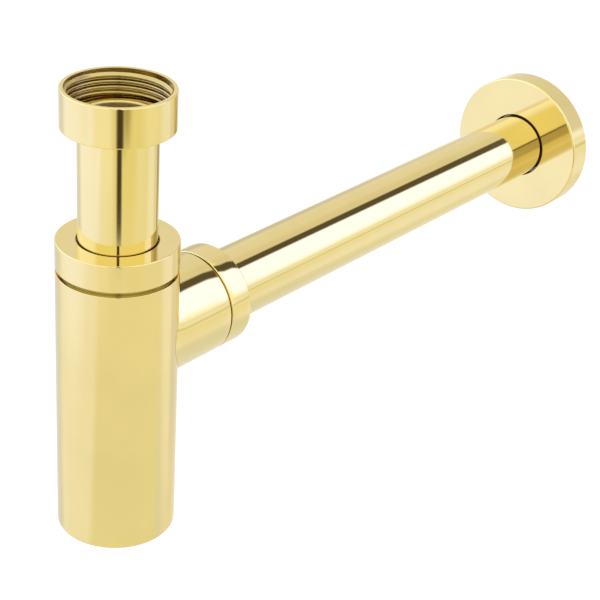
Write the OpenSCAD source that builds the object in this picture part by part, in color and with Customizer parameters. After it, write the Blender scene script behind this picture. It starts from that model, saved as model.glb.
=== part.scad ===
// A bottle trap for a wash basin, in brass with a gold finish.
// The basin waste screws into the inlet nut. Water falls down the inlet tube into the bottle, climbs
// round the outside of the tube to the side branch, and leaves through the wall tube.
// Frame: +Z up the inlet tube, +Y along the wall tube, origin in the mouth of the inlet nut.

/* [Inlet nut] */
// Major diameter of the thread that takes the basin waste
thread_d = 41.91; // [41:0.01:43]
// Depth of the threaded mouth
thread_l = 10.8; // [9:0.1:14]
// Wall of the nut behind the thread
nut_wall = 1.75; // [1.5:0.05:3]
// Thickness of the lip that pulls the tube's collar up
nut_lip_t = 2.2; // [1.8:0.1:3.5]

/* [Inlet tube] */
// Outside diameter of the inlet tube
inlet_tube_d = 32; // [31:0.1:33]
// Wall of the inlet tube
inlet_tube_wall = 1.2; // [0.9:0.1:1.6]
// Thickness of the collar flared out at the top of the tube
collar_t = 1.6; // [1.2:0.1:2.5]
// Length of bare tube between the inlet nut and the cap
tube_show = 47.45; // [40:0.05:70]
// Depth of water that the trap holds over the end of the tube
water_seal = 51; // [45:1:55]

/* [Cap] */
// Outside diameter of the cap ring
cap_d = 50; // [50:0.1:56]
// Height of the cap ring
cap_h = 11.7; // [11:0.1:14]
// Thickness of the cap's top
cap_top_t = 2.2; // [1.8:0.1:3]
// Wall of the cap's threaded skirt
cap_skirt = 2.15; // [1.8:0.05:2.6]
// Height of the dark groove left between the cap and the bottle
cap_groove = 1.85; // [1:0.05:3]

/* [Bottle] */
// Outside diameter of the bottle
bottle_d = 50; // [49.5:0.1:56]
// Height of the bottle below the groove
bottle_h = 119.75; // [117:0.25:140]
// Wall of the bottle's shell
shell_wall = 1.5; // [1.2:0.1:2]
// Outside radius of the shell's bottom edge
shell_edge = 1.2; // [0.6:0.1:1.4]
// Thickness of the neck ring's brazed foot
neck_foot_t = 3; // [2:0.1:5]

/* [Side branch] */
// Outside diameter of the side branch and its nut
branch_d = 44.8; // [44.5:0.1:47]
// Distance from the bottle's axis to the end face of the branch
branch_reach = 45.4; // [44:0.1:60]
// Drop from the bottle's top edge to the branch's axis
branch_drop = 31.9; // [28:0.1:38]
// Wall of the branch round its chamber
branch_wall = 2; // [1.5:0.1:2.5]
// Length of the branch's solid end, behind its face
branch_end_t = 5; // [3:0.1:7]
// Radius of the port cut through the shell behind the branch
port_r = 18; // [14:0.5:19]

/* [Outlet nut] */
// Length of the outlet nut
outlet_nut_l = 11.6; // [11:0.1:14]
// Thickness of the outlet nut's end
outlet_nut_end_t = 2; // [1.8:0.1:3]
// Wall of the outlet nut's threaded skirt
outlet_skirt = 1.9; // [1.7:0.05:2.2]
// Width of the fine groove left between the branch and the outlet nut
outlet_groove = 0.8; // [0.4:0.1:2]

/* [Wall tube] */
// Outside diameter of the wall tube
wall_tube_d = 32; // [31:0.1:33]
// Wall of the wall tube
wall_tube_wall = 1.2; // [0.9:0.1:1.6]
// Length of the wall tube
wall_tube_l = 300; // [260:1:400]
// Length of tube pushed in behind the branch's end face
tube_insert = 15.4; // [12:0.1:17]
// Distance from the wall's face to the turned mark that shows how far the tube is pushed in
mark_in = 1.4; // [0.9:0.1:4]
// Width of that mark
mark_w = 0.8; // [0.5:0.1:1.5]
// Depth of that mark
mark_depth = 0.4; // [0.2:0.05:0.5]

/* [Wall flange] */
// Length of the wall tube that goes into the wall behind the flange
wall_stub = 18.9; // [18.5:0.1:30]
// Outside diameter of the wall flange
flange_d = 72.2; // [66:0.2:84]
// Depth of the wall flange
flange_depth = 12.2; // [10:0.1:18]
// Thickness of the pressed metal of the flange
flange_wall = 1.2; // [0.8:0.1:1.6]
// Outside radius of the flange's front edge
flange_edge = 0.9; // [0.3:0.1:1.5]
// Length of the hub behind the flange's face
hub_l = 5.6; // [5:0.1:8]
// Thickness of the cord of the grip ring inside the hub
grip_cord = 2.4; // [2:0.1:3]

/* [Glands] */
// Thickness of the nylon slip rings
slip_t = 1; // [0.8:0.1:1.5]
// Thickness of the rim of the cone seals
seal_rim_t = 2; // [1.5:0.1:2.4]
// Depth of the tapered seats that take the cone seals
seat_depth = 6; // [4:0.1:6.2]
// Metal left round the mouth of each tapered seat
seat_land = 1.7; // [1.2:0.1:2]
// Width of the waterway kept between a tube and the foot of its seat
seat_foot_gap = 1.4; // [1:0.1:1.6]

/* [Base plug] */
// Diameter of the cleaning plug's head
plug_head_d = 37.6; // [36:0.2:40]
// Thickness of the plug's head
plug_head_t = 2.6; // [2.2:0.1:3]
// Distance the plug's head sits in from the bottle's bottom
plug_recess = 0.4; // [0.2:0.1:1]
// Diameter of the plug's thread
plug_thread_d = 30; // [28:0.2:31]
// Length of thread in the base ring
plug_thread_l = 4.5; // [4:0.1:6]
// Wall left round the hollow in the plug's shank
plug_wall = 2.5; // [2:0.1:4]
// Width of the slot for a coin
slot_w = 3; // [2:0.1:4]
// Depth of the slot
slot_depth = 1.3; // [0.8:0.1:1.6]
// Length of the slot
slot_l = 28; // [20:1:32]
// Thickness of the cord of the plug's seal ring
plug_cord = 1.5; // [1.2:0.1:1.8]

/* [Fits and edges] */
// Radial play of a thread or a plug in its hole
thread_fit = 0.05; // [0.02:0.01:0.1]
// Radial play of a rubber or nylon ring on the tube it slides on
ring_fit = 0.08; // [0.05:0.01:0.1]
// Gap drawn between brazed pieces and between pieces that bear face to face
seat_fit = 0.03; // [0.01:0.01:0.05]
// Radial gap round a tube where it passes through a nut or the cap
tube_gap = 0.5; // [0.35:0.05:0.7]
// Radial gap round the wall tube where it passes through the flange
flange_gap = 0.8; // [0.5:0.05:1]
// Radial gap between the collar or a slip ring and the metal round it
collar_gap = 0.6; // [0.4:0.05:0.9]
// Outside radius of the edges of the nuts and the cap
edge_r = 0.45; // [0.2:0.05:0.8]
// Chamfer of the tube ends and of the holes that the tubes pass through
chamfer = 0.4; // [0.2:0.05:0.6]
// Depth of the turned relief below the inlet nut's thread
relief = 0.35; // [0.25:0.05:0.5]

/* [Hidden] */
$fn = 96;

gold = [0.91, 0.81, 0.50];
gold_inside = [0.80, 0.68, 0.38];
nylon = [0.93, 0.93, 0.90];
rubber = [0.13, 0.13, 0.13];

// Overlap that a cutting shape is given past the face it cuts
over = 1;

// Radii of the inlet
thread_r = thread_d / 2;
nut_r = thread_r + nut_wall;
inlet_r = inlet_tube_d / 2;
inlet_bore_r = inlet_r - inlet_tube_wall;
collar_r = thread_r - collar_gap;

// Heights down the inlet axis, from the mouth of the nut
relief_z = -thread_l;
collar_top_z = relief_z - collar_gap;
collar_under_z = collar_top_z - collar_t;
nut_floor_z = collar_under_z - slip_t - 2 * seat_fit;
nut_bottom_z = nut_floor_z - nut_lip_t;
cap_top_z = nut_bottom_z - tube_show;
cap_bottom_z = cap_top_z - cap_h;
bottle_top_z = cap_bottom_z - cap_groove;
bottle_bottom_z = bottle_top_z - bottle_h;
outlet_z = bottle_top_z - branch_drop;

// Thickness of what a gland holds between its neck and its nut: seal rim, slip ring and gaps
gland_t = seal_rim_t + slip_t + 3 * seat_fit;

// Cap, neck and bottle
cap_r = cap_d / 2;
cap_bore_r = cap_r - cap_skirt;
neck_r = cap_bore_r - thread_fit;
neck_top_z = cap_top_z - cap_top_t - gland_t;
bottle_r = bottle_d / 2;
shell_in_r = bottle_r - shell_wall;
brazed_r = shell_in_r - seat_fit;

// Distances along the outlet axis, from the bottle's axis
outlet_nut_start = branch_reach + outlet_groove;
outlet_nut_stop = outlet_nut_start + outlet_nut_l;
outlet_neck_end = outlet_nut_stop - outlet_nut_end_t - gland_t;
branch_r = branch_d / 2;
chamber_r = branch_r - branch_wall;
outlet_bore_r = branch_r - outlet_skirt;
outlet_neck_r = outlet_bore_r - thread_fit;
wall_r = wall_tube_d / 2;
wall_bore_r = wall_r - wall_tube_wall;
wall_tube_start = branch_reach - tube_insert;
wall_tube_stop = wall_tube_start + wall_tube_l;
wall_y = wall_tube_stop - wall_stub;

// The tube dips below the lowest water level by the depth of the seal
dip_z = outlet_z - wall_bore_r - water_seal;

// Base: heights up from the bottle's bottom
head_under = plug_recess;
head_top = head_under + plug_head_t;
gland_top = head_top + plug_cord + seat_fit;
base_ring_top = gland_top + plug_thread_l;
head_hole_r = plug_head_d / 2 + collar_gap / 2;
plug_r = plug_thread_d / 2;
plug_gland_r = plug_r + plug_cord + 3 * ring_fit;

// Flange
flange_r = flange_d / 2;
flange_front = wall_y - flange_depth;
grip_r = grip_cord / 2;
hub_bore_r = wall_r + 2 * ring_fit + grip_cord;
hub_r = hub_bore_r + flange_wall;

// Rounds off the outside corner of a profile at (r, z). The signs say which way the corner points.
module round_off(r, z, radius, out, up) {
    translate([r - out * radius, z - up * radius]) difference() {
        polygon([[0, 0], [out * (radius + over), 0], [out * (radius + over), up * (radius + over)],
                 [0, up * (radius + over)]]);
        circle(radius);
    }
}

// Takes a 45 degree chamfer off a corner of a profile at (r, z).
module bevel_off(r, z, size, out, up) {
    polygon([[r + out * over, z + up * over], [r - out * size, z + up * over], [r - out * size, z],
             [r, z - up * size], [r + out * over, z - up * size]]);
}

// A rectangle of a profile, between two radii and two heights
module band(r_in, r_out, z_low, z_high) {
    translate([r_in, z_low]) square([r_out - r_in, z_high - z_low]);
}

// Turns children about the outlet axis: what is +Z in them points along +Y to the wall
module along_outlet() {
    translate([0, 0, outlet_z]) rotate([-90, 0, 0]) children();
}

// Radius of a tapered seat at its mouth and at its foot
function seat_mouth_r(neck) = neck - seat_land;
function seat_foot_r(tube) = tube + seat_foot_gap;

// Profile of a threaded neck with its tapered seat. The neck's end is at z = 0.
module neck_profile(tube, neck, foot_r, foot_z, length) {
    polygon([[seat_foot_r(tube), -foot_z], [foot_r, -foot_z], [foot_r, -length], [neck, -length],
             [neck, 0], [seat_mouth_r(neck), 0], [seat_foot_r(tube), -seat_depth]]);
}

// Rubber seal whose cone seats in a neck: its rim lies on the end of the neck at z = 0
module cone_seal(tube, neck) {
    rim_r = neck - collar_gap;
    slope = (seat_mouth_r(neck) - seat_foot_r(tube)) / seat_depth;
    cone_l = seat_depth - collar_gap;
    color(rubber) rotate_extrude() polygon([
        [tube + ring_fit, -cone_l],
        [seat_mouth_r(neck) - slope * cone_l - ring_fit, -cone_l],
        [seat_mouth_r(neck) - ring_fit, seat_fit],
        [rim_r, seat_fit],
        [rim_r, seat_fit + seal_rim_t],
        [tube + ring_fit, seat_fit + seal_rim_t]]);
}

// Nylon ring that lets a nut turn without dragging the seal round. It starts at z = 0.
module slip_ring(tube, outside) {
    color(nylon) rotate_extrude() band(tube + ring_fit, outside, 0, slip_t);
}

// A gland nut: a threaded skirt open at the bottom, and an end with a hole for the tube
module gland_nut(outside, bore, hole, length, end_t, top) {
    color(gold) rotate_extrude() difference() {
        band(hole, outside, top - length, top);
        band(hole - over, bore, top - length - over, top - end_t);
        round_off(outside, top, edge_r, 1, 1);
        round_off(outside, top - length, edge_r, 1, -1);
        bevel_off(hole, top, chamfer, -1, 1);
        bevel_off(bore, top - length, chamfer, -1, -1);
    }
}

// The union nut of the inlet, open upwards to take the tail of the waste
module inlet_nut() {
    hole_r = inlet_r + tube_gap;
    color(gold) rotate_extrude() difference() {
        band(hole_r, nut_r, nut_bottom_z, 0);
        band(hole_r - over, thread_r, relief_z, over);
        band(hole_r - over, thread_r + relief, nut_floor_z, relief_z);
        round_off(nut_r, 0, edge_r, 1, 1);
        round_off(nut_r, nut_bottom_z, edge_r, 1, -1);
        bevel_off(hole_r, nut_bottom_z, chamfer, -1, -1);
    }
}

// Ring between the lip of the inlet nut and the collar of the tube
module inlet_slip_ring() {
    translate([0, 0, nut_floor_z + seat_fit]) slip_ring(inlet_r, collar_r);
}

// Inlet and dip tube, one piece with the collar flared out of its top
module inlet_tube() {
    color(gold) rotate_extrude() difference() {
        union() {
            band(inlet_bore_r, inlet_r, dip_z, collar_top_z);
            band(inlet_bore_r, collar_r, collar_under_z, collar_top_z);
        }
        round_off(inlet_bore_r, collar_top_z, inlet_tube_wall, -1, 1);
        round_off(collar_r, collar_top_z, chamfer, 1, 1);
        bevel_off(inlet_r, dip_z, chamfer, 1, -1);
    }
}

// Ring nut at the top of the bottle, which squeezes the inlet seal
module top_cap() {
    gland_nut(cap_r, cap_bore_r, inlet_r + tube_gap, cap_h, cap_top_t, cap_top_z);
}

module cap_slip_ring() {
    translate([0, 0, neck_top_z + 2 * seat_fit + seal_rim_t]) slip_ring(inlet_r, neck_r - collar_gap);
}

module inlet_cone_seal() {
    translate([0, 0, neck_top_z]) cone_seal(inlet_r, neck_r);
}

// Deep drawn shell of the bottle, with its side port and the hole for the plug
module bottle_shell() {
    color(gold) difference() {
        rotate_extrude() difference() {
            band(0, bottle_r, bottle_bottom_z, bottle_top_z);
            difference() {
                band(-over, shell_in_r, bottle_bottom_z + shell_wall, bottle_top_z + over);
                round_off(shell_in_r, bottle_bottom_z + shell_wall, shell_edge / 2, 1, -1);
            }
            band(-over, head_hole_r, bottle_bottom_z - over, bottle_bottom_z + shell_wall + over);
            round_off(bottle_r, bottle_bottom_z, shell_edge, 1, -1);
            bevel_off(bottle_r, bottle_top_z, chamfer / 2, 1, 1);
        }
        along_outlet() cylinder(r = port_r, h = bottle_r + over);
    }
}

// Turned ring brazed into the top of the shell: it has the cap's thread and the seat of the seal
module neck_ring() {
    neck_l = neck_top_z - bottle_top_z;
    color(gold_inside) translate([0, 0, neck_top_z]) rotate_extrude()
        neck_profile(inlet_r, neck_r, brazed_r, neck_l + neck_foot_t, neck_l);
}

// Turned branch, saddled over the shell and brazed to it, with the outlet's thread and seat
module side_branch() {
    neck_l = outlet_neck_end - branch_reach;
    color(gold) difference() {
        along_outlet() rotate_extrude() difference() {
            band(0, branch_r, 0, branch_reach);
            band(-over, chamber_r, -over, branch_reach - branch_end_t);
            band(-over, seat_foot_r(wall_r), 0, branch_reach + over);
            round_off(branch_r, branch_reach, chamfer / 2, 1, 1);
        }
        translate([0, 0, outlet_z - branch_r - over])
            cylinder(r = bottle_r + seat_fit, h = 2 * (branch_r + over));
    }
    color(gold_inside) along_outlet() translate([0, 0, outlet_neck_end]) rotate_extrude()
        neck_profile(wall_r, outlet_neck_r, outlet_neck_r - chamfer, neck_l + chamfer, neck_l);
}

// Ring brazed inside the bottom of the shell, threaded for the plug
module base_ring() {
    color(gold_inside) translate([0, 0, bottle_bottom_z]) rotate_extrude() difference() {
        band(plug_r + thread_fit, brazed_r - shell_edge / 2, shell_wall + seat_fit, base_ring_top);
        band(0, head_hole_r, 0, head_top + seat_fit);
        band(0, plug_gland_r, 0, gland_top);
        bevel_off(plug_r + thread_fit, base_ring_top, chamfer, -1, 1);
    }
}

// Cleaning plug: a flat head with a slot for a coin, and a hollow threaded shank
module base_plug() {
    color(gold) translate([0, 0, bottle_bottom_z]) difference() {
        rotate_extrude() difference() {
            union() {
                band(0, plug_head_d / 2, head_under, head_top);
                band(0, plug_r, head_top, base_ring_top);
            }
            band(-over, plug_r - plug_wall, gland_top, base_ring_top + over);
            round_off(plug_head_d / 2, head_under, edge_r, 1, -1);
            bevel_off(plug_r, base_ring_top, chamfer, 1, 1);
        }
        translate([-slot_l / 2, -slot_w / 2, head_under - over]) cube([slot_l, slot_w, slot_depth + over]);
    }
}

// Rubber ring between the plug's head and the base ring
module plug_seal_ring() {
    ring_r = plug_r + 1.5 * ring_fit + plug_cord / 2;
    color(rubber) translate([0, 0, bottle_bottom_z + head_top + seat_fit / 2 + plug_cord / 2])
        rotate_extrude() translate([ring_r, 0]) circle(plug_cord / 2);
}

// Ring nut at the end of the branch, which squeezes the outlet seal
module outlet_nut() {
    along_outlet() gland_nut(branch_r, outlet_bore_r, wall_r + tube_gap, outlet_nut_l,
                             outlet_nut_end_t, outlet_nut_stop);
}

module outlet_slip_ring() {
    along_outlet() translate([0, 0, outlet_neck_end + 2 * seat_fit + seal_rim_t])
        slip_ring(wall_r, outlet_neck_r - collar_gap);
}

module outlet_cone_seal() {
    along_outlet() translate([0, 0, outlet_neck_end]) cone_seal(wall_r, outlet_neck_r);
}

// Straight tube to the wall, with the turned mark near its far end
module wall_tube() {
    mark_y = wall_y + mark_in;
    color(gold) along_outlet() rotate_extrude() difference() {
        band(wall_bore_r, wall_r, wall_tube_start, wall_tube_stop);
        band(wall_r - mark_depth, wall_r + over, mark_y - mark_w, mark_y);
        bevel_off(wall_r, wall_tube_start, chamfer, 1, -1);
        bevel_off(wall_r, wall_tube_stop, chamfer, 1, 1);
    }
}

// Pressed cup that covers the hole in the wall, with a hub round the tube
module wall_flange() {
    hole_r = wall_r + flange_gap;
    hub_end = flange_front + flange_wall + hub_l;
    color(gold) along_outlet() rotate_extrude() difference() {
        union() {
            band(hole_r, flange_r, flange_front, flange_front + flange_wall);
            band(flange_r - flange_wall, flange_r, flange_front, wall_y);
            band(hole_r, hub_r, flange_front, hub_end);
        }
        band(hole_r - over, hub_bore_r, flange_front + flange_wall, hub_end - flange_wall);
        round_off(flange_r, flange_front, flange_edge, 1, -1);
        bevel_off(hole_r, flange_front, chamfer, -1, -1);
    }
}

// Rubber ring in the hub, which keeps the flange where it is pushed on the tube
module flange_grip_ring() {
    grip_y = flange_front + flange_wall + seat_fit + grip_r;
    color(rubber) along_outlet() rotate_extrude() translate([wall_r + ring_fit + grip_r, grip_y])
        circle(grip_r);
}

inlet_nut();
inlet_slip_ring();
inlet_tube();
top_cap();
cap_slip_ring();
inlet_cone_seal();
bottle_shell();
neck_ring();
side_branch();
base_ring();
base_plug();
plug_seal_ring();
outlet_nut();
outlet_slip_ring();
outlet_cone_seal();
wall_tube();
wall_flange();
flange_grip_ring();
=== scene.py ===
# %% [markdown]
# Basin trap in polished pale gold, in Blender
#
# The trap hangs under a wash basin. Water falls down an upright tube into a bottle, stands there as a seal
# against drain air, and leaves through a side branch and a long level tube to the wall. Nearly every piece
# is turned on a lathe and then polished and plated, so the lesson is about two things: clean turned
# meshes, and a studio for a mirror-like metal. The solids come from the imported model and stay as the
# frame.

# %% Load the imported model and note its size
import bpy
from math import cos, pi, radians, sin, tan
from mathutils import Matrix, Vector


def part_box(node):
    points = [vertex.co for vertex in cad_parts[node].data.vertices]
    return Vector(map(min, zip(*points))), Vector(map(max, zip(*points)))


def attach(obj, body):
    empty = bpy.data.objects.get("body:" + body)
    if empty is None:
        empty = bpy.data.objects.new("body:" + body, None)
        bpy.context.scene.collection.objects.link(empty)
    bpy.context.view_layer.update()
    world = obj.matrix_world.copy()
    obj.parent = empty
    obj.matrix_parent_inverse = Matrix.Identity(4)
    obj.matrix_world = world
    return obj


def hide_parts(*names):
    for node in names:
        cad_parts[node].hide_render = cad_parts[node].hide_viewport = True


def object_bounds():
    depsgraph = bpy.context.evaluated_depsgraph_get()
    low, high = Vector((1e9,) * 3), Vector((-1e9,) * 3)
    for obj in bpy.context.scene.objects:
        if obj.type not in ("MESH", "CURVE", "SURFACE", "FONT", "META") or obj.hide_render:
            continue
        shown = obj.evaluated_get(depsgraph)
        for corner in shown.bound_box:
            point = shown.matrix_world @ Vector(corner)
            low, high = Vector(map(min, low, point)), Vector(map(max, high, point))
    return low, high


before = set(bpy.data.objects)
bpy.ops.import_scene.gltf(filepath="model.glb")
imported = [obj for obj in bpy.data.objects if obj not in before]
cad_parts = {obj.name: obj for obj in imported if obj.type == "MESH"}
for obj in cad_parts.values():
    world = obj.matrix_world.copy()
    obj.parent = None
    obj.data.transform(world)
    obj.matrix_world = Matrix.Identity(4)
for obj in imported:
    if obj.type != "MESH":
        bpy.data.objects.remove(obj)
cad_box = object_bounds()

# %% [markdown]
# Camera
#
# The photograph looks down on the trap from the front right with a long lens, and the camera is rolled a
# little. The camera comes first. It could track an empty, but a matrix written from three angles says
# exactly where it looks, and it holds the roll as well.

# %% Place the camera
view_heading = 37.795      # degrees that the view is turned about the upright axis
view_height = 27.978       # degrees that it looks down
view_roll = 3.724
view_place = Vector((0.41816, -0.41910, 0.22602))
lens_mm = 99.2
sensor_mm = 36.0


def view_axes(heading, height, roll):
    """Right, up and backward axes of a camera that is turned, tipped and rolled by these degrees."""
    a, e, r = radians(heading), radians(height), radians(roll)
    back = Vector((sin(a) * cos(e), -cos(a) * cos(e), sin(e)))
    right = Vector((cos(a), sin(a), 0))
    up = back.cross(right)
    return cos(r) * right + sin(r) * up, cos(r) * up - sin(r) * right, back


camera_data = bpy.data.cameras.new("camera")
camera_data.lens = lens_mm
camera_data.sensor_width = sensor_mm
camera = bpy.data.objects.new("camera", camera_data)
bpy.context.scene.collection.objects.link(camera)
axes = Matrix(view_axes(view_heading, view_height, view_roll)).transposed()
camera.matrix_world = Matrix.Translation(view_place) @ axes.to_4x4()
bpy.context.scene.camera = camera
bpy.context.scene.view_settings.view_transform = "Standard"
print("camera", round(view_place.length, 3), "m from the nut")

# %% [markdown]
# Node trees as arithmetic
#
# Both the materials and the turned shapes are node trees. Adding every Math node by hand hides the idea,
# so one small class stands for a socket and its operators add the Math nodes. A second class holds the
# tree and makes any other node in one call, with its settings first and its sockets after.

# %% Wrap a socket so that sums on it add Math nodes
class Wire:
    def __init__(self, tree, socket):
        self.tree, self.socket = tree, socket

    def __add__(self, other):
        return self.tree.math("ADD", self, other)

    def __sub__(self, other):
        return self.tree.math("SUBTRACT", self, other)

    def __rsub__(self, other):
        return self.tree.math("SUBTRACT", other, self)

    def __mul__(self, other):
        return self.tree.math("MULTIPLY", self, other)

    def __truediv__(self, other):
        return self.tree.math("DIVIDE", self, other)

    def __gt__(self, other):
        return self.tree.math("GREATER_THAN", self, other)

    def __lt__(self, other):
        return self.tree.math("LESS_THAN", self, other)

    __radd__ = __add__
    __rmul__ = __mul__


# %% Wrap a node tree so that one call makes a node
class Tree:
    def __init__(self, tree):
        self.tree = tree

    def plug(self, socket, value):
        """Links a wire to a socket, or sets the socket's own value."""
        if isinstance(value, Wire):
            self.tree.links.new(value.socket, socket)
        else:
            socket.default_value = value

    def node(self, kind, settings=None, sockets=None, out=0):
        """Adds a node: settings first, then the values or wires of its sockets. Gives one output."""
        made = self.tree.nodes.new(kind)
        for name, value in (settings or {}).items():
            setattr(made, name, value)
        for name, value in (sockets or {}).items():
            self.plug(made.inputs[name], value)
        return made if out is None else Wire(self, made.outputs[out])

    def math(self, operation, *values):
        return self.node("ShaderNodeMath", {"operation": operation}, dict(enumerate(values)))

    def vector(self, operation, *values, out=0):
        return self.node("ShaderNodeVectorMath", {"operation": operation}, dict(enumerate(values)), out)

    def axes(self, vector):
        """The three parts of a vector, as wires."""
        split = self.node("ShaderNodeSeparateXYZ", sockets={0: vector}, out=None)
        return [Wire(self, part) for part in split.outputs]

    def ramp(self, value, low, high):
        """0 below low and 1 above high, with a smooth rise between. low may be the larger."""
        return self.node("ShaderNodeMapRange", {"interpolation_type": "SMOOTHSTEP"},
                         {"Value": value, "From Min": low, "From Max": high})

    def mix(self, factor, first, second):
        """Colour mix of two colours or wires."""
        made = self.node("ShaderNodeMix", {"data_type": "RGBA"}, {0: factor}, out=None)
        self.plug(made.inputs[6], first)
        self.plug(made.inputs[7], second)
        return Wire(self, made.outputs[2])


def colour(red, green, blue):
    """A colour with the alpha that sockets want."""
    return (red, green, blue, 1.0)


# %% [markdown]
# Polished gold plate
#
# The real finish is brass that was turned, buffed to a mirror and plated in a pale gold. A plain metallic
# shader looks like a computer's metal, so three faint things are added: lines that run round the piece,
# left by the lathe and the buff, a haze that makes the gloss a little uneven, and a slow waviness of the
# surface. Inside a bore the buff doesn't reach: those faces stay duller and keep coarser turning lines.
# Their colour is also darker, which is painted shade for the little light deep in a bore. The tree finds
# them by the normal, which points at the axis there. One function makes the finish for an upright or a
# level axis. The drawn inlet tube is duller still inside, so that its mouth isn't a black hole.

# %% Make the metal finishes
# The second gold is painted shade: the darker colour that faces inside a bore get, where little light
# reaches.
plate_gold = (0.84, 0.70, 0.33)
shaded_bore_gold = (0.62, 0.48, 0.21)
brass = (0.50, 0.42, 0.16)
line_scale, haze_scale, slow_scale = 2600.0, 38.0, 60.0
mirror_gloss, bore_gloss, raw_gloss = 0.06, 0.2, 0.5
buffed_lines, buffed_wave = 4e-8, 3e-6       # heights of the bump, in metres
outlet_height = (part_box("wall_tube")[0].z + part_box("wall_tube")[1].z) / 2


def metal(name, tint, shaded_bore_tint, level, gloss, inside_gloss, lines, wave):
    """Turned metal. level says that its axis points at the wall. gloss is the roughness outside.
    shaded_bore_tint is painted shade, given to the faces inside a bore.
    """
    made = bpy.data.materials.new(name)
    made.use_nodes = True
    made.diffuse_color = colour(*tint)
    tree = Tree(made.node_tree)
    shader = made.node_tree.nodes["Principled BSDF"]
    coords = tree.node("ShaderNodeTexCoord", out=None)
    place, normal = Wire(tree, coords.outputs["Object"]), Wire(tree, coords.outputs["Normal"])
    x, y, z = tree.axes(place)
    nx, ny, nz = tree.axes(normal)
    across, side, along = (z - outlet_height, nz, y) if level else (y, ny, z)
    inward = tree.ramp(x * nx + across * side, 0.0, -0.004)
    radius = tree.math("SQRT", x * x + across * across)
    turned = tree.node("ShaderNodeCombineXYZ", sockets={0: radius, 1: along, 2: 0.0})
    fine = tree.node("ShaderNodeTexNoise", {"noise_dimensions": "2D"},
                     {"Vector": turned, "Scale": line_scale, "Detail": 3.0})
    haze = tree.node("ShaderNodeTexNoise", sockets={"Vector": place, "Scale": haze_scale, "Detail": 4.0})
    slow = tree.node("ShaderNodeTexNoise", sockets={"Vector": place, "Scale": slow_scale, "Detail": 1.0})
    deep = tuple(part * 0.94 for part in tint)
    outside = tree.mix(tree.ramp(haze, 0.25, 0.95), colour(*tint), colour(*deep))
    # Faces that point at the axis take the darker bore colour: painted shade for the dim inside of a bore.
    tree.plug(shader.inputs["Base Color"], tree.mix(inward, outside, colour(*shaded_bore_tint)))
    shader.inputs["Metallic"].default_value = 1.0
    uneven = (haze - 0.5) * gloss * 0.7 + (fine - 0.5) * gloss * 0.3
    rough = gloss + uneven + inward * (inside_gloss - gloss)
    tree.plug(shader.inputs["Roughness"], rough)
    height = (fine - 0.5) * (lines + inward * lines) + (slow - 0.5) * (wave - inward * wave)
    bump = tree.node("ShaderNodeBump", sockets={"Strength": 1.0, "Distance": 1.0, "Height": height})
    tree.plug(shader.inputs["Normal"], bump)
    return made


gold_upright = metal("gold_upright", plate_gold, shaded_bore_gold, False, mirror_gloss, bore_gloss, buffed_lines,
                     buffed_wave)
gold_drawn = metal("gold_drawn", plate_gold, plate_gold, False, mirror_gloss, raw_gloss, buffed_lines,
                   buffed_wave)
gold_level = metal("gold_level", plate_gold, shaded_bore_gold, True, mirror_gloss, bore_gloss, buffed_lines,
                   buffed_wave)
brass_upright = metal("brass_upright", brass, brass, level=False, gloss=0.24, inside_gloss=0.3, lines=5e-7,
                      wave=2e-6)
print("metals:", [m.name for m in (gold_upright, gold_drawn, gold_level, brass_upright)])

# %% [markdown]
# Nylon and rubber
#
# The slip rings are milky nylon and the seals are black rubber. The flange's grip ring is rubber in a dark
# brown, which paints the shade seen in the flange's gap.
# They hardly show, but a piece that is taken apart shows them. Nylon lets some light in, and rubber has a
# dusty bloom: both get a mottled colour, an uneven gloss and a grain in the bump.

# %% Make the soft finishes
cloud_scale = 160.0


def moulded(name, tint, patch, gloss, grain, depth):
    """A moulded finish: a colour, a second colour that lies in patches, a gloss and a grain size."""
    made = bpy.data.materials.new(name)
    made.use_nodes = True
    made.diffuse_color = colour(*tint)
    tree = Tree(made.node_tree)
    shader = made.node_tree.nodes["Principled BSDF"]
    place = tree.node("ShaderNodeTexCoord", out=3)
    cloud = tree.node("ShaderNodeTexNoise", sockets={"Vector": place, "Scale": cloud_scale, "Detail": 3.0})
    speck = tree.node("ShaderNodeTexNoise", sockets={"Vector": place, "Scale": grain, "Detail": 2.0})
    patches = tree.ramp(cloud, 0.3, 0.8)
    tree.plug(shader.inputs["Base Color"], tree.mix(patches, colour(*tint), colour(*patch)))
    tree.plug(shader.inputs["Roughness"], gloss + (cloud - 0.5) * 0.3)
    bump = tree.node("ShaderNodeBump", sockets={"Strength": 0.6, "Distance": depth, "Height": speck})
    tree.plug(shader.inputs["Normal"], bump)
    return made


nylon = moulded("milky_nylon", (0.80, 0.79, 0.73), (0.70, 0.68, 0.60), gloss=0.42, grain=1500.0, depth=2e-5)
nylon_shader = nylon.node_tree.nodes["Principled BSDF"]
nylon_shader.inputs["Subsurface Weight"].default_value = 0.15
nylon_shader.inputs["Subsurface Radius"].default_value = (0.002, 0.002, 0.002)
rubber_feel = {"gloss": 0.55, "grain": 2400.0, "depth": 4e-5}
rubber = moulded("black_rubber", (0.022, 0.022, 0.023), (0.05, 0.05, 0.048), **rubber_feel)
# The grip ring's brown is painted shade: it stands in for the shaded gold seen in the gap inside the
# flange's hub.
shade_brown_rubber = moulded("shade_brown_rubber", (0.085, 0.06, 0.03), (0.11, 0.08, 0.045), **rubber_feel)
print("soft finishes:", nylon.name, rubber.name, shade_brown_rubber.name)

# %% [markdown]
# Outlines of turned pieces
#
# A lathe makes a piece from one outline. Each outline here is a closed list of corners, in millimetres:
# the distance from the axis, the height along it, and the radius that the edge is rounded with. A mirror
# finish shows every mistake in the normals, so each rounded edge is an arc with one more point just
# outside each of its ends. The long faces between two arcs then keep straight normals, and reflections
# don't bend near edges.

# %% Turn corners into an outline
mm = 0.001
arc_steps = 6
support_mm = 0.02


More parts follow.
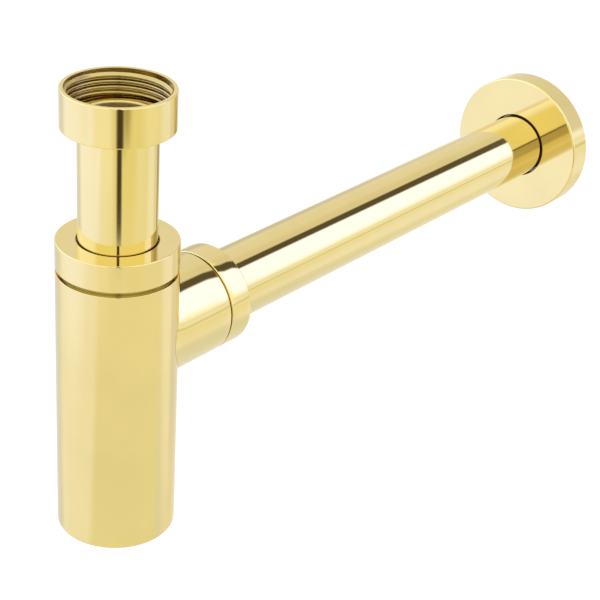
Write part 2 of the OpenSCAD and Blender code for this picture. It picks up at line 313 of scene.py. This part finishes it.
def rounded(corners):
    """Closed outline of (radius, height) points from corners of (radius, height, edge radius)."""
    points = []
    for k, (r, h, edge) in enumerate(corners):
        here = Vector((r, h))
        if edge <= 0:
            points.append(here)
            continue
        back = (Vector(corners[k - 1][:2]) - here).normalized()
        on = (Vector(corners[(k + 1) % len(corners)][:2]) - here).normalized()
        half = back.angle(on) / 2
        reach = edge / tan(half)
        centre = here + (back + on).normalized() * edge / sin(half)
        first, last = here + back * reach - centre, here + on * reach - centre
        sweep = pi - 2 * half
        points.append(here + back * (reach + support_mm))
        for step in range(arc_steps + 1):
            t = step / arc_steps
            points.append(centre + (first * sin((1 - t) * sweep) + last * sin(t * sweep)) / sin(sweep))
        points.append(here + on * (reach + support_mm))
    return points


def rows(radius, start, stop, step):
    """Plain points down a straight wall, which a thread or a cut needs."""
    count = max(1, round(abs(stop - start) / step))
    return [(radius, start + (stop - start) * k / count, 0) for k in range(count + 1)]


print("an edge takes", arc_steps + 3, "points")

# %% [markdown]
# The lathe
#
# A Screw modifier could spin the outline, but it can't cut a thread in it. This Geometry Nodes tree lays a
# grid with one row for each point of the outline and one column for each step round the axis, and then
# moves every point to its place. The same tree cuts a thread: a ridge winds down the wall, one pitch a
# turn, fades in at its start and runs out into the relief. All of it is named inputs, so one tree makes
# every piece.

# %% Build the lathe as a node tree
lathe = bpy.data.node_groups.new("lathe", "GeometryNodeTree")
lathe.interface.new_socket("Outline", in_out="INPUT", socket_type="NodeSocketGeometry")
lathe.interface.new_socket("Segments", in_out="INPUT", socket_type="NodeSocketInt")
for name in ("Wall", "Depth", "Pitch", "Start", "Stop", "Heading"):
    lathe.interface.new_socket(name, in_out="INPUT", socket_type="NodeSocketFloat")
lathe.interface.new_socket("Finish", in_out="INPUT", socket_type="NodeSocketMaterial")
lathe.interface.new_socket("Piece", in_out="OUTPUT", socket_type="NodeSocketGeometry")
tree = Tree(lathe)
given = tree.node("NodeGroupInput", out=None)
wire = {socket.name: Wire(tree, socket) for socket in given.outputs if socket.name}

# %% Lay the grid and find each point's row and column
count = tree.node("GeometryNodeAttributeDomainSize", sockets={0: wire["Outline"]})
columns = wire["Segments"] + 1
grid = tree.node("GeometryNodeMeshGrid", sockets={"Vertices X": count + 1, "Vertices Y": columns})
index = tree.node("GeometryNodeInputIndex")
row = tree.math("FLOOR", (index + 0.5) / columns)
column = index - row * columns
angle = (column - tree.math("FLOOR", (column + 0.5) / wire["Segments"]) * wire["Segments"]) * (2 * pi)
angle = angle / wire["Segments"]
looped = row - tree.math("FLOOR", (row + 0.5) / count) * count
point = tree.node("GeometryNodeSampleIndex", {"data_type": "FLOAT_VECTOR"},
                  {"Geometry": wire["Outline"], "Value": tree.node("GeometryNodeInputPosition"),
                   "Index": looped})
radius, _, height = tree.axes(point)

# %% Wind the thread
ridge_foot, ridge_crown = 0.48, 0.03         # shares of a pitch away from the ridge's middle
run_in = 0.13                                # turns over which the thread's start rises
wall_slack = 1e-5
turn_at = angle / (2 * pi) - wire["Heading"]
turn = turn_at - tree.math("FLOOR", turn_at)
down = (wire["Start"] - height) / wire["Pitch"] + turn
nearest = tree.math("FLOOR", down + 0.5)
off_centre = tree.math("ABSOLUTE", down - nearest)
along_thread = nearest - turn
ridge = tree.ramp(off_centre, ridge_foot, ridge_crown) * tree.ramp(along_thread, 0.0, run_in)
on_wall = (tree.math("ABSOLUTE", radius - wire["Wall"]) < wall_slack) * (height > wire["Stop"])
radius = radius - ridge * on_wall * wire["Depth"]

# %% Close the mesh and give it its finish
spot = tree.node("ShaderNodeCombineXYZ", sockets={0: radius * tree.math("COSINE", angle),
                                                  1: radius * tree.math("SINE", angle), 2: height})
moved = tree.node("GeometryNodeSetPosition", sockets={"Geometry": grid, "Position": spot})
seam_slack = 1e-6
merged = tree.node("GeometryNodeMergeByDistance", sockets={"Geometry": moved, "Distance": seam_slack})
smooth = tree.node("GeometryNodeSetShadeSmooth", sockets={"Geometry": merged})
real = tree.node("GeometryNodeRealizeInstances", sockets={"Geometry": smooth})
finished = tree.node("GeometryNodeSetMaterial", sockets={"Geometry": real, "Material": wire["Finish"]})
tree.node("NodeGroupOutput", sockets={0: finished}, out=None)
lathe_id = {item.name: item.identifier for item in lathe.interface.items_tree if item.in_out == "INPUT"}
print("lathe tree:", len(lathe.nodes), "nodes")

# %% Turn one outline into a finished mesh
segments = 256
sharp_angle = radians(38)
to_wall = Matrix.Translation((0, 0, outlet_height)) @ Matrix.Rotation(-pi / 2, 4, "X")


def evaluated(piece):
    """Plain mesh of the object's modifiers, put back on it."""
    bpy.context.view_layer.update()
    result = bpy.data.meshes.new_from_object(piece.evaluated_get(bpy.context.evaluated_depsgraph_get()))
    piece.modifiers.clear()
    piece.data = result
    result.name = piece.name
    return piece


def turned(name, corners, finish, level=False, thread=None):
    """A turned piece. level lays its axis along the outlet. thread holds the lathe's thread inputs in mm."""
    outline = [(r * mm, 0, h * mm) for r, h in rounded(corners)]
    mesh = bpy.data.meshes.new(name)
    mesh.from_pydata(outline, [(k, (k + 1) % len(outline)) for k in range(len(outline))], [])
    piece = bpy.data.objects.new(name, mesh)
    bpy.context.scene.collection.objects.link(piece)
    modifier = piece.modifiers.new("lathe", "NODES")
    modifier.node_group = lathe
    values = {"Segments": segments, "Wall": 0.0, "Depth": 0.0, "Pitch": 1.0, "Start": 0.0, "Stop": 0.0,
              "Heading": 0.0, "Finish": finish}
    for key, value in (thread or {}).items():
        values[key] = value if key == "Heading" else value * mm
    for key, value in values.items():
        modifier[lathe_id[key]] = value
    evaluated(piece)
    if level:
        piece.data.transform(to_wall)
    outward(piece)
    return piece


def outward(piece):
    """Points the faces outwards by the sign of the enclosed volume, and marks the sharp edges."""
    volume = 0.0
    for face in piece.data.polygons:
        volume += face.center.dot(face.normal) * face.area
    if volume < 0:
        piece.data.flip_normals()
    piece.data.set_sharp_from_angle(angle=sharp_angle)
    print(piece.name, len(piece.data.polygons), "faces,", round(abs(volume) / 3 / mm ** 3), "mm3")


# %% [markdown]
# Sizes from the frame
#
# Every piece stands where its solid stands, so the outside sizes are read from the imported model. What its
# box can't tell, such as a bore, is a named value in millimetres.

# %% Read the outside sizes
def span(node, level=False):
    """Radius, lowest and highest place along its axis, in mm, of a turned node."""
    low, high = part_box(node)
    start, stop = (low.y, high.y) if level else (low.z, high.z)
    return round((high.x - low.x) / 2 / mm, 2), round(start / mm, 2), round(stop / mm, 2)


edge = 0.45          # radii of rounded edges, from a nut's rim down to a scribed line
hole_edge = 0.35
broken_edge = 0.3
thin_edge = 0.2
soft_edge = 0.15
scribed_edge = 0.08
fold_edge = 0.6      # inside corners of drawn and pressed sheet
tube_hole = 16.5
tube_bore = 14.8
for node in ("inlet_nut", "inlet_tube", "top_cap", "bottle_shell", "neck_ring"):
    print(node, span(node))

# %% [markdown]
# Inlet nut
#
# The union nut takes the threaded tail of the basin's waste. Looking into it from above shows a thin rim,
# a plain lead-in and then the ridges of the thread. It is one turned outline, with rows close together
# where the thread is wound. The thread's start fades in over an eighth of a turn, as a cutter leaves it.

# %% Turn the inlet nut
nut_r, nut_bottom, nut_top = span("inlet_nut")
thread_r = 20.955
relief_r = 21.305
thread_end = -10.8
nut_floor = -14.06
thread_row = 0.1
lead_in = -0.4
nut_corners = ([(nut_r, nut_bottom, edge), (nut_r, nut_top, edge), (thread_r, nut_top, soft_edge)]
               + rows(thread_r, lead_in, thread_end, thread_row)
               + [(relief_r, thread_end, 0), (relief_r, nut_floor, soft_edge),
                  (tube_hole, nut_floor, soft_edge), (tube_hole, nut_bottom, hole_edge)])
nut_thread = {"Wall": thread_r, "Depth": 1.2, "Pitch": 2.309, "Start": -1.1, "Stop": thread_end + 0.05,
              "Heading": 0.19}
inlet_nut = turned("inlet_nut_turned", nut_corners, gold_upright, thread=nut_thread)
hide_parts("inlet_nut")
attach(inlet_nut, "union_nut")

# %% [markdown]
# Inlet tube
#
# A straight drawn tube whose top is flared into a collar, which hangs on the nut's lip. Seen from above
# the collar is a flat ring with a rolled inner edge round the dark bore.

# %% Turn the inlet tube
collar_r, dip_end, collar_top = span("inlet_tube")
inlet_r = 16.0
collar_under = -13.0
rolled_edge = 0.95
inlet_tube = turned("inlet_tube_turned", [
    (tube_bore, dip_end, thin_edge), (inlet_r, dip_end, hole_edge), (inlet_r, collar_under, soft_edge),
    (collar_r, collar_under, soft_edge), (collar_r, collar_top, hole_edge),
    (tube_bore, collar_top, rolled_edge)], gold_drawn)
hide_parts("inlet_tube")
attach(inlet_tube, "inlet_pipe")

# %% [markdown]
# Cap and outlet nut
#
# Both are gland nuts: a threaded skirt with an end that has a hole for the tube. The same corners make
# both, with other sizes. The cap's edges are only just broken, so that they catch one thin line of light.
# The outlet nut was buffed harder: its radius falls by a tenth of a millimetre towards both ends, which
# bends the reflections there.

# %% Turn the two gland nuts
crown_steps = 5


def crown(radius, end, back, fall, edge_radius):
    """Corners of a wall's last stretch, whose radius falls a little towards its end. back leads inwards."""
    shares = [k / crown_steps for k in range(crown_steps + 1)]
    return [(radius - fall * t ** 2, end + back * (1 - t), edge_radius if t == 1 else 0) for t in shares]


def gland_corners(wall, stop, start, bore, end_thickness):
    """Corners of a gland nut with this outer wall, whose end is at stop."""
    inner = stop - end_thickness
    return wall + [(tube_hole, stop, hole_edge), (tube_hole, inner, soft_edge), (bore, inner, soft_edge),
                   (bore, start, hole_edge)]


cap_r, cap_bottom, cap_top = span("top_cap")
cap_bore, cap_end = 22.85, 2.2
cap_wall = [(cap_r, cap_bottom, edge), (cap_r, cap_top, edge)]
top_cap = turned("top_cap_turned", gland_corners(cap_wall, cap_top, cap_bottom, cap_bore, cap_end),
                 gold_upright)
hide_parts("top_cap")
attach(top_cap, "cap")

outlet_r, outlet_start, outlet_stop = span("outlet_nut", True)
buffed_reach, buffed_fall = 3.5, 0.12
nut_bore, nut_end = 20.5, 2.0
outlet_wall = (crown(outlet_r, outlet_start, buffed_reach, buffed_fall, edge)[::-1]
               + crown(outlet_r, outlet_stop, -buffed_reach, buffed_fall, edge))
outlet_nut = turned("outlet_nut_turned", gland_corners(outlet_wall, outlet_stop, outlet_start, nut_bore,
                                                       nut_end), gold_level, level=True)
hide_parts("outlet_nut")
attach(outlet_nut, "ring_nut")

# %% [markdown]
# Bottle
#
# A deep drawn shell, plain outside, with a rounded bottom edge, a hole for the cleaning plug and a port
# behind the side branch. The shell is turned, and the port is cut by a Boolean, as a cutter does. Rows of
# points lie close together round the port, so that the cut's uneven faces stay small and hidden under the
# branch.

# %% Turn the bottle and cut its port
bottle_r, bottle_bottom, bottle_top = span("bottle_shell")
shell_wall = 1.5
plug_hole = 19.1
port_r = 18.0
row_step = 3.0
outlet_mm = outlet_height / mm
port_reach = 21.0
port_rows = (outlet_mm - port_reach, outlet_mm + port_reach)
cut_from, cut_to = 5, 35
bottom_edge = 1.2
shell_in = bottle_r - shell_wall
shell_floor = bottle_bottom + shell_wall


def cut(piece, cutter):
    """Takes the cutter's shape out of the piece, exactly, and deletes the cutter."""
    modifier = piece.modifiers.new("cut", "BOOLEAN")
    modifier.operation, modifier.solver, modifier.object = "DIFFERENCE", "EXACT", cutter
    evaluated(piece)
    bpy.data.objects.remove(cutter)
    outward(piece)


bottle = turned("bottle_turned", [(bottle_r, bottle_bottom, bottom_edge)]
                + rows(bottle_r, *port_rows, row_step)
                + [(bottle_r, bottle_top, thin_edge), (shell_in, bottle_top, soft_edge)]
                + rows(shell_in, *reversed(port_rows), row_step)
                + [(shell_in, shell_floor, fold_edge), (plug_hole, shell_floor, soft_edge),
                   (plug_hole, bottle_bottom, soft_edge)], gold_upright)
port_corners = [(0, cut_from, 0), (port_r, cut_from, 0), (port_r, cut_to, 0), (0, cut_to, 0)]
port_cutter = turned("port_cutter", port_corners, gold_level, level=True)
cut(bottle, port_cutter)
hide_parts("bottle_shell")
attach(bottle, "bottle")

# %% [markdown]
# Side branch
#
# A short turned branch sits on the bottle like a saddle and is brazed to it. It is turned from the axis
# outwards, and then the rows at its inner end are moved along the branch onto the bottle's wall. That
# gives the crisp curved joint line without any cut. The braze and the buff leave a faint flare at the root
# and a faint fall at the other end, and the reflections bend with them.

# %% Turn the branch and fit its saddle
branch_r = 22.4
branch_face = 45.4
chamber_r = 20.4
chamber_end = 40.4
neck_r = 20.45
neck_end = span("side_branch", True)[2]
seat_wall = 1.7
seat_mouth = neck_r - seat_wall
seat_foot = 17.4
seat_depth = 6.0
saddle_gap = 0.03
root_reach, root_flare = 5.0, 0.12
root_steps = 4
branch_reach, branch_fall = 7.0, 0.18
root = [(branch_r + root_flare * (1 - k / root_steps) ** 2, root_reach * k / root_steps, 0)
        for k in range(root_steps + 1)]
branch_wall = root + crown(branch_r, branch_face, -branch_reach, branch_fall, broken_edge)
branch = turned("side_branch_turned", branch_wall + [
    (neck_r, branch_face, soft_edge), (neck_r, neck_end, soft_edge), (seat_mouth, neck_end, soft_edge),
    (seat_foot, neck_end - seat_depth, soft_edge), (seat_foot, chamber_end, soft_edge),
    (chamber_r, chamber_end, soft_edge), (chamber_r, 0, 0)], gold_level, level=True)
for vertex in branch.data.vertices:
    if vertex.co.y < (root_reach + saddle_gap) * mm:
        vertex.co.y += (((bottle_r + saddle_gap) * mm) ** 2 - vertex.co.x ** 2) ** 0.5
branch.data.update()
outward(branch)
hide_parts("side_branch")
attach(branch, "bottle")

# %% [markdown]
# Wall tube
#
# A long drawn tube. Its only detail is a fine turned mark near the far end, which shows the fitter how
# deep the tube has to go into the wall. In this pose the mark is just inside the wall, behind the flange.

# %% Turn the wall tube
wall_r, wall_start, wall_stop = span("wall_tube", True)
mark_start, mark_stop = 311.7, 312.5
mark_depth = 0.4
mark_r = wall_r - mark_depth
wall_tube = turned("wall_tube_turned", [
    (tube_bore, wall_start, thin_edge), (wall_r, wall_start, hole_edge), (wall_r, mark_start, scribed_edge),
    (mark_r, mark_start, scribed_edge), (mark_r, mark_stop, scribed_edge), (wall_r, mark_stop, scribed_edge),
    (wall_r, wall_stop, hole_edge), (tube_bore, wall_stop, thin_edge)], gold_level, level=True)
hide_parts("wall_tube")
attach(wall_tube, "wall_pipe")

# %% [markdown]
# Wall flange
#
# A pressed cup that hides the hole in the wall. Its flat face mirrors the end of the tube, so its normals
# have to be exact, and its rim is rounded as pressed sheet is. The back is hollow, with a hub round the
# tube.

# %% Turn the wall flange
flange_r, flange_front, flange_back = span("wall_flange", True)
flange_wall = 1.2
flange_hole = 16.8
hub_bore, hub_r = 18.56, 19.76
hub_depth = 5.6
rim_edge = 0.9
face_back = flange_front + flange_wall
hub_end = face_back + hub_depth
flange = turned("wall_flange_turned", [
    (flange_hole, flange_front, soft_edge), (flange_r, flange_front, rim_edge),
    (flange_r, flange_back, soft_edge), (flange_r - flange_wall, flange_back, soft_edge),
    (flange_r - flange_wall, face_back, fold_edge), (hub_r, face_back, broken_edge),
    (hub_r, hub_end, broken_edge), (flange_hole, hub_end, soft_edge),
    (flange_hole, hub_end - flange_wall, soft_edge), (hub_bore, hub_end - flange_wall, soft_edge),
    (hub_bore, face_back, soft_edge), (flange_hole, face_back, soft_edge)], gold_level, level=True)
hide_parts("wall_flange")
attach(flange, "flange")

# %% [markdown]
# Cleaning plug
#
# A flat plug in the bottom lets the bottle be emptied. It has a coin slot and a threaded shank. The slot
# is cut from the turned plug with a Boolean, because a slot isn't round.

# %% Turn the plug and cut its slot
plug_head_r, plug_low, plug_high = span("base_plug")
head_thickness = 2.6
head_top = plug_low + head_thickness
shank_r = 15.0
hollow_r = 12.5
hollow_cover = 1.53
hollow_floor = head_top + hollow_cover
slot_size = Vector((28.0, 3.0, 2.6))
plug = turned("base_plug_turned", [
    (0, plug_low, 0), (plug_head_r, plug_low, edge), (plug_head_r, head_top, soft_edge),
    (shank_r, head_top, 0), (shank_r, plug_high, hole_edge), (hollow_r, plug_high, soft_edge),
    (hollow_r, hollow_floor, soft_edge), (0, hollow_floor, 0)], gold_upright)
cutter_mesh = bpy.data.meshes.new("slot_cutter")
half = slot_size / 2 * mm
corners = [(sx * half.x, sy * half.y, plug_low * mm + sz * half.z)
           for sx in (-1, 1) for sy in (-1, 1) for sz in (-1, 1)]
cutter_mesh.from_pydata(corners, [], [(0, 1, 3, 2), (4, 6, 7, 5), (0, 4, 5, 1), (2, 3, 7, 6), (0, 2, 6, 4),
                                      (1, 5, 7, 3)])
slot_cutter = bpy.data.objects.new("slot_cutter", cutter_mesh)
bpy.context.scene.collection.objects.link(slot_cutter)
cut(plug, slot_cutter)
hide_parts("base_plug")
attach(plug, "plug")

# %% [markdown]
# Pieces that stay as their solids
#
# The rings and seals inside the glands and the two brazed rings are simple and mostly hidden. Their solids
# are right as they are, and they only get their finish.

# %% Give the inner pieces their finish
inner_finish = {"neck_ring": brass_upright, "base_ring": brass_upright,
                "inlet_slip_ring": nylon, "cap_slip_ring": nylon, "outlet_slip_ring": nylon,
                "inlet_cone_seal": rubber, "outlet_cone_seal": rubber, "plug_seal_ring": rubber,
                "flange_grip_ring": shade_brown_rubber}
for node, finish in inner_finish.items():
    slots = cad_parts[node].material_slots
    for item in slots:
        item.link = "OBJECT"
        item.material = finish
    print(node, "slots:", len(slots), finish.name)

# %% [markdown]
# Studio
#
# Polished metal shows its surroundings and nothing else, so the studio is the most important material
# here. The camera sees plain white. The metal sees large soft cards: a pale ground, a cool fill at the
# left, a white softbox at the right and a few narrow dark flags, which draw the dark lines along the
# tubes. Real lamps with textures could do the same, but a world shader that knows only the ray's direction
# is free of noise and costs nothing. Other light, such as that on the rubber, is an even pale grey.

# %% Start the world and say what a card is
depth_in_front = 0.05
world = bpy.data.worlds.new("studio")
bpy.context.scene.world = world
world.use_nodes = True
world.node_tree.nodes.clear()
sky = Tree(world.node_tree)
ray = sky.vector("NORMALIZE", sky.node("ShaderNodeTexCoord"))
_, ray_y, ray_z = sky.axes(ray)


def toward(heading, height):
    """Unit vector at a compass heading, 0 at the wall and 90 at the right, and a height, in degrees."""
    a, e = radians(heading), radians(height)
    return Vector((sin(a) * cos(e), cos(a) * cos(e), sin(e)))


def card(heading, height, wide, high, soft_side, soft_end):
    """Mask of a flat card at a heading and height, with half its width and height and its soft edges, all
    in degrees as seen from the object."""
    out = toward(heading, height)
    right = toward(heading + 90, 0)
    up = right.cross(out)
    depth = sky.vector("DOT_PRODUCT", ray, tuple(out), out=1)
    across = sky.math("ABSOLUTE", sky.vector("DOT_PRODUCT", ray, tuple(right), out=1) / depth)
    rise = sky.math("ABSOLUTE", sky.vector("DOT_PRODUCT", ray, tuple(up), out=1) / depth)
    w, h, ws, hs = (tan(radians(part)) for part in (wide, high, soft_side, soft_end))
    return sky.ramp(across, w + ws, w - ws) * sky.ramp(rise, h + hs, h - hs) * (depth > depth_in_front)


# %% Hang the cards
upper_light, ground_light, low_light = (1.22, 1.27, 1.10), (0.99, 0.95, 0.75), (0.95, 0.92, 0.73)
horizon_ends, low_ends = (0.0, -0.25), (-0.44, -0.56)          # heights of the ray between which they blend
light = sky.mix(sky.ramp(ray_z, *horizon_ends), colour(*upper_light), colour(*ground_light))
light = sky.mix(sky.ramp(ray_z, *low_ends), light, colour(*low_light))

# Each card: where its middle is, half its size, its soft edges and its colour. Later ones lie on top.
cards = {
    "pale_wall": ((-24, 24), (30, 28), (8, 8), (0.93, 0.90, 0.83)),
    "wall_shade": ((-5, 43), (8, 9), (6, 6), (0.87, 0.82, 0.68)),
    "cool_window": ((-122, 24), (34, 15), (14, 10), (1.40, 1.60, 2.40)),
    "cool_fill_low": ((-135, -36), (48, 7), (22, 4), (1.05, 1.05, 1.08)),
    "cool_fill": ((-135, -10), (46, 20.5), (14, 4), (1.14, 1.19, 1.50)),
    "cool_fill_edge": ((-157, -19), (9, 4.5), (7, 2), (1.12, 1.14, 1.27)),
    "warm_fill": ((165, -18), (18, 8.5), (12, 4), (1.10, 1.07, 0.95)),
    "warm_fill_edge": ((143, -18), (3, 8.5), (8, 4), (0.90, 0.82, 0.46)),
    "olive_back": ((147, 3), (6, 11), (3, 4), (0.62, 0.58, 0.44)),
    "olive_back_line": ((149, 13), (6, 1.6), (3, 1), (0.20, 0.16, 0.08)),
    "left_outline": ((-74, -18), (18, 26), (14, 14), (0.83, 0.84, 0.90)),
    "level_outline": ((-52, 0), (13, 11), (8, 8), (0.68, 0.67, 0.64)),
    "right_ground": ((-5, -31), (20, 3.5), (6, 2.5), (0.87, 0.85, 0.80)),
    "right_shade": ((9, -24), (7, 5), (6, 3), (0.87, 0.84, 0.74)),
    "right_outline": ((-12, -19), (8, 6.5), (9, 1.5), (0.40, 0.36, 0.20)),
    "right_fill": ((72, -19), (22, 4.5), (14, 3), (1.06, 1.02, 0.78)),
    "cool_from_below": ((30, -24), (13, 12), (8, 8), (1.06, 1.06, 1.08)),
    "pale_table": ((0, -50), (40, 10), (6, 6), (0.89, 0.90, 0.88)),
    "horizon": ((40, 1), (14, 4), (7, 5), (1.00, 1.00, 1.00)),
    "table_edge": ((46, -6.2), (16, 1.6), (2.2, 2.2), (0.80, 0.77, 0.64)),
    "softbox": ((31, 28), (18, 21.5), (5, 10), (1.35, 1.50, 2.60)),
    "softbox_flag": ((13.5, 42), (6.6, 14), (1.8, 1.8), (0.12, 0.10, 0.06)),
    "warm_beside_camera": ((106, -15), (20, 12), (10, 3), (0.96, 0.90, 0.52)),
    "dim_beside_camera": ((119, -10), (7, 12.8), (7, 1.0), (0.50, 0.43, 0.21)),
    "camera_flag": ((132.1, -14), (6.4, 12.4), (3.2, 0.8), (0.08, 0.06, 0.03)),
    "upper_flag": ((134, 20), (3.4, 22), (1, 1), (0.10, 0.06, 0.03))}
for aim, half_size, soft, tint in cards.values():
    light = sky.mix(card(*aim, *half_size, *soft), light, colour(*tint))
wall_side = sky.ramp(ray_y, 0.803, 0.812) * sky.ramp(ray_z, 0.05, 0.2)
light = sky.mix(wall_side, light, colour(0.87, 0.84, 0.77))
far_wall = sky.ramp(ray_y, 0.84, 0.90) * sky.ramp(ray_z, 0.1, 0.25)
light = sky.mix(far_wall, light, colour(0.56, 0.52, 0.44))
print("studio cards:", len(cards))

# %% Let the camera see white and the rest an even light
paths = sky.node("ShaderNodeLightPath", out=None)
seen_by = {key: Wire(sky, paths.outputs[key]) for key in ("Is Camera Ray", "Is Glossy Ray",
                                                          "Is Transmission Ray")}
mirrored = sky.math("MAXIMUM", seen_by["Is Glossy Ray"], seen_by["Is Transmission Ray"])
even = colour(0.92, 0.92, 0.92)
seen = sky.mix(mirrored, even, light)
seen = sky.mix(seen_by["Is Camera Ray"], seen, colour(1.0, 1.0, 1.0))
background = sky.node("ShaderNodeBackground", sockets={"Color": seen, "Strength": 1.0})
sky.node("ShaderNodeOutputWorld", sockets={"Surface": background}, out=None)
print("world tree:", len(world.node_tree.nodes), "nodes")

# %% [markdown]
# Floor
#
# The trap is photographed as if it hung in the air over white. A pale floor lies well below it and keeps
# its soft shadow. To the camera the floor glows a little, so that it meets the white background without an
# edge. From below it lets the camera through, so that the underside can be looked at.

# %% Lay the floor
floor_drop = 0.25
floor_half = 6.0
floor_glow = 0.30
floor_height = cad_box[0][2] - floor_drop
floor_mesh = bpy.data.meshes.new("floor")
floor_mesh.from_pydata([(-floor_half, -floor_half, floor_height), (floor_half, -floor_half, floor_height),
                        (floor_half, floor_half, floor_height), (-floor_half, floor_half, floor_height)],
                       [], [(0, 1, 2, 3)])
floor_paint = bpy.data.materials.new("floor_paint")
floor_paint.use_nodes = True
floor_paint.node_tree.nodes.clear()
paint = Tree(floor_paint.node_tree)
floor_paths = paint.node("ShaderNodeLightPath", out=None)
looked_at = Wire(paint, floor_paths.outputs["Is Camera Ray"])
matt = paint.node("ShaderNodeBsdfDiffuse", sockets={"Color": colour(0.8, 0.8, 0.8)})
glow = paint.node("ShaderNodeEmission", sockets={"Color": colour(1, 1, 1), "Strength": floor_glow})
lit = paint.node("ShaderNodeAddShader", sockets={0: matt, 1: glow})
plain = paint.node("ShaderNodeMixShader", sockets={0: looked_at, 1: matt, 2: lit})
behind = paint.node("ShaderNodeNewGeometry", out=6)
clear = paint.node("ShaderNodeBsdfTransparent")
both = paint.node("ShaderNodeMixShader", sockets={0: behind, 1: plain, 2: clear})
paint.node("ShaderNodeOutputMaterial", sockets={"Surface": both}, out=None)
floor_mesh.materials.append(floor_paint)
studio_floor = bpy.data.objects.new("floor", floor_mesh)
bpy.context.scene.collection.objects.link(studio_floor)
studio_floor.visible_glossy = False
print("floor at", round(floor_height, 3))

# %% [markdown]
# Soft lamp
#
# One large lamp over the left shoulder shapes the shadow and the duller bores. It stays out of the
# mirrors, which already have their softbox.

# %% Hang the lamp
lamp_data = bpy.data.lights.new("soft_lamp", "AREA")
lamp_data.shape = "DISK"
lamp_data.size = 1.2
lamp_data.energy = 3.0
lamp = bpy.data.objects.new("soft_lamp", lamp_data)
bpy.context.scene.collection.objects.link(lamp)
lamp_place = Vector((-0.5, -0.4, 1.3))
lamp.matrix_world = Matrix.Translation(lamp_place) @ lamp_place.to_track_quat("Z", "Y").to_matrix().to_4x4()
lamp.visible_glossy = False
